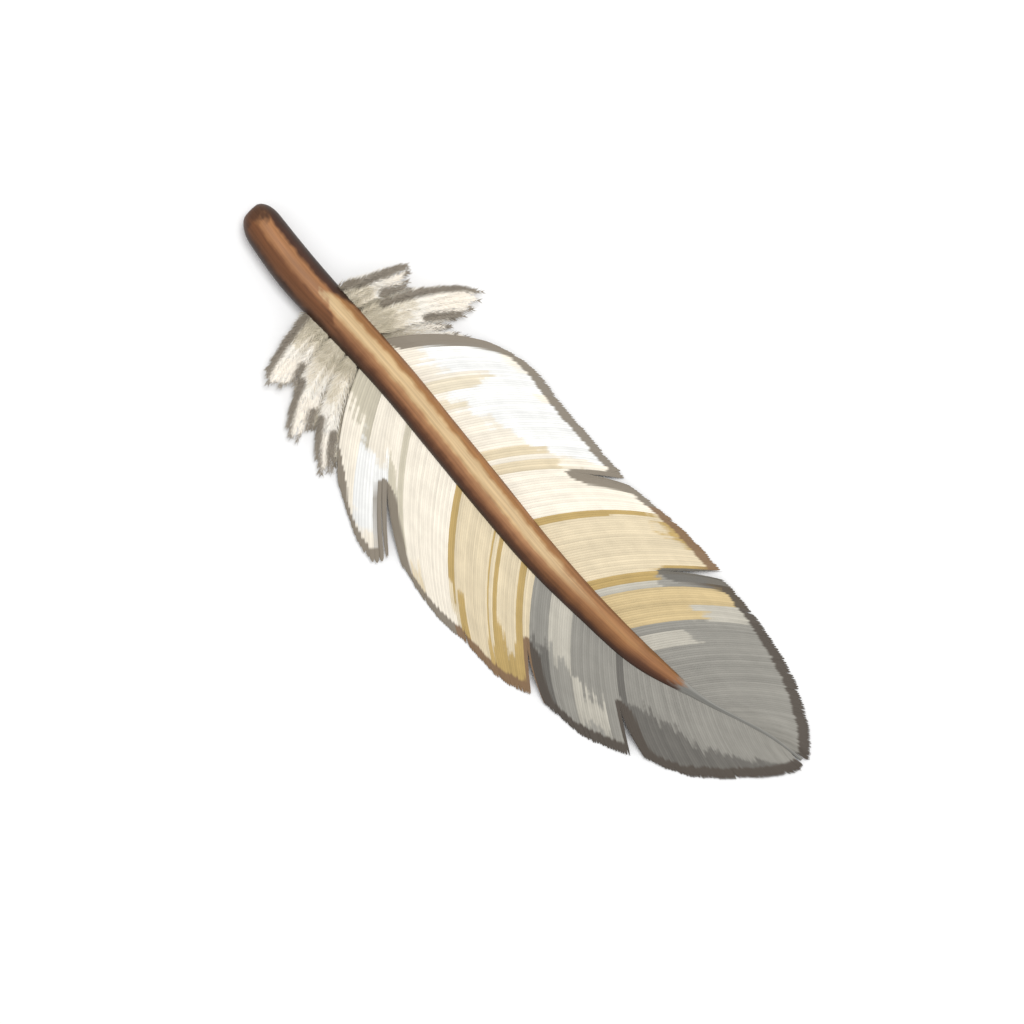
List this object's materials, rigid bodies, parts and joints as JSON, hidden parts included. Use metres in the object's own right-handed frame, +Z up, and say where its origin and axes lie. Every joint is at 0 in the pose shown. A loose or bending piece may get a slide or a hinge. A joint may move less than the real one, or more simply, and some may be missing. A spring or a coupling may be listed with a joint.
{
  "type": "bird feather",
  "caption": "Broad curved feather with a thick brown shaft, white, cream and tan vanes, a grey tip and loose down at the base.",
  "frame": {"origin": "on the surface that the feather lies on, under the middle of the quill's flat stretch", "axes": "+X along the feather from the quill to the tip, +Y towards the left vane, +Z up from the feather's back side"},
  "size_m": [0.1497, 0.051, 0.0088],
  "materials": {
    "shaft": "polished brown horn, darker along both sides",
    "vane": "silky barbs, white to cream to tan, grey towards the tip",
    "down": "loose matt down, off-white"
  },
  "bodies": {
    "root": {"shaft": "shaft", "left_vane": "vane", "right_vane": "vane", "left_down": "down", "right_down": "down"}
  },
  "joints": []
}
